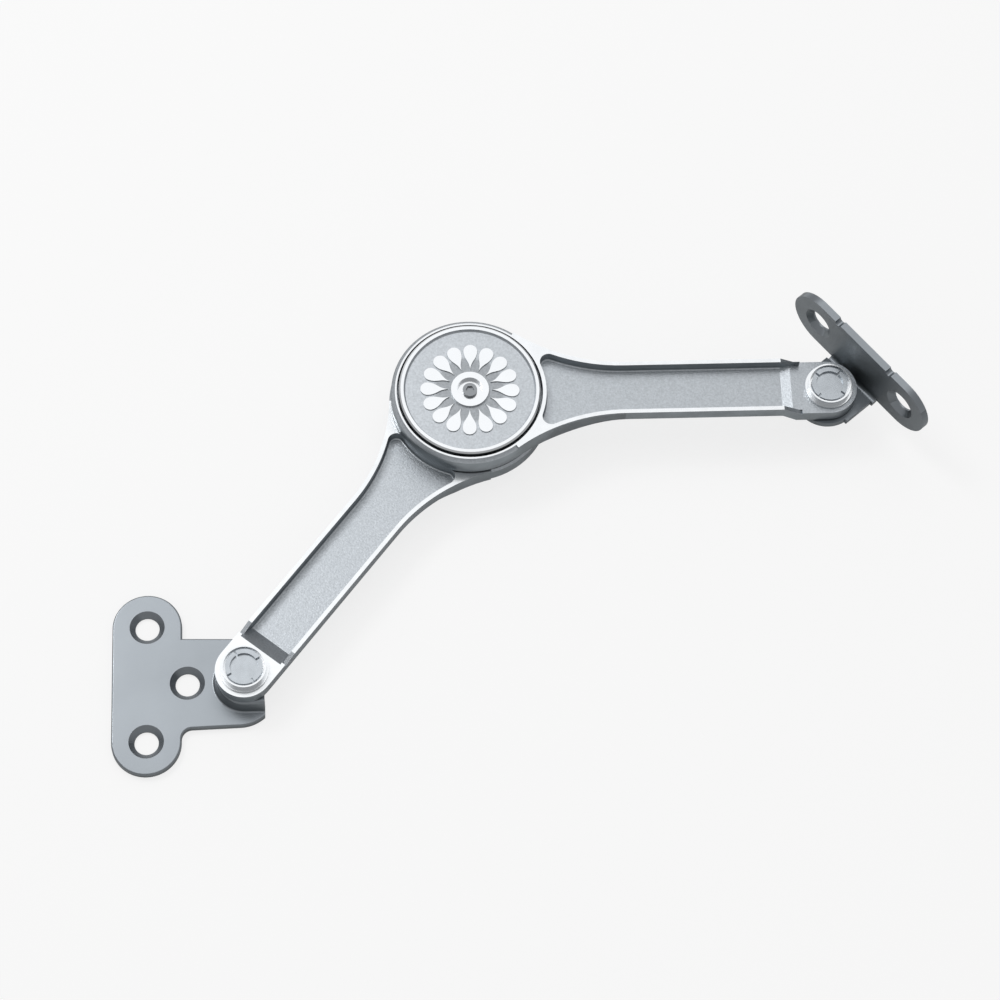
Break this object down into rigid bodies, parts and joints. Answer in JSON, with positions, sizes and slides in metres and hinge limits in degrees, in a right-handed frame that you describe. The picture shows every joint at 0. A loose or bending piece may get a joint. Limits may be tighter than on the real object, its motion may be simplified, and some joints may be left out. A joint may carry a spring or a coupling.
{
  "type": "friction lid stay",
  "caption": "Friction stay that holds a lid open: side plate, jointed arms on an adjustable round friction hub, and an angled lid bracket.",
  "frame": {"origin": "midway between the side plate's two outer screw holes, on the plate's back face", "axes": "+Z away from the cabinet side, along every pivot axis; +X from the outer screw holes to the plate's pivot; +Y along the line of the outer screw holes"},
  "size_m": [0.22, 0.127, 0.0288],
  "materials": {
    "sheet_steel": "satin nickel-plated",
    "cast_arm": "satin nickel-plated casting",
    "cap": "matte field, polished rim",
    "polished": "polished nickel",
    "dark_steel": "plain steel",
    "spring_steel": "hardened spring steel",
    "friction_disc": "matte friction lining",
    "bush": "sintered bronze"
  },
  "bodies": {
    "side_plate": {"side_plate": "sheet_steel", "side_pin": "polished", "side_washer": "dark_steel", "side_cup": "polished", "side_nut": "polished"},
    "lower_arm": {"lower_arm": "cast_arm", "side_bush": "bush", "hub_spindle": "dark_steel", "spindle_washer": "dark_steel", "middle_disc": "friction_disc", "pressure_plate": "dark_steel", "lower_spring": "spring_steel", "upper_spring": "spring_steel", "hub_cap": "cap", "cap_collar": "polished"},
    "adjusting_screw": {"adjusting_screw": "dark_steel"},
    "upper_arm": {"upper_arm": "cast_arm", "hub_bush": "bush", "upper_disc": "friction_disc", "lid_bush": "bush"},
    "lid_bracket": {"lid_bracket": "sheet_steel", "lid_pin": "polished", "lid_washer": "dark_steel", "lid_cup": "polished", "lid_nut": "polished"}
  },
  "joints": [
    {"name": "side_pivot", "type": "hinge", "parent": "side_plate", "child": "lower_arm", "pos_m": [0.0261, 0, 0.0092], "axis": [0, 0, 1], "continuous": true},
    {"name": "hub_pivot", "type": "hinge", "parent": "lower_arm", "child": "upper_arm", "pos_m": [0.08764, 0.07627, 0.012], "axis": [0, 0, 1], "range_deg": [-94, 51]},
    {"name": "lid_pivot", "type": "hinge", "parent": "upper_arm", "child": "lid_bracket", "pos_m": [0.18564, 0.07627, 0.013], "axis": [0, 0, 1], "range_deg": [-125, 50]},
    {"name": "adjusting_screw_turn", "type": "hinge", "parent": "lower_arm", "child": "adjusting_screw", "pos_m": [0.08764, 0.07627, 0.015], "axis": [0, 0, 1], "range_deg": [-360, 360]}
  ]
}
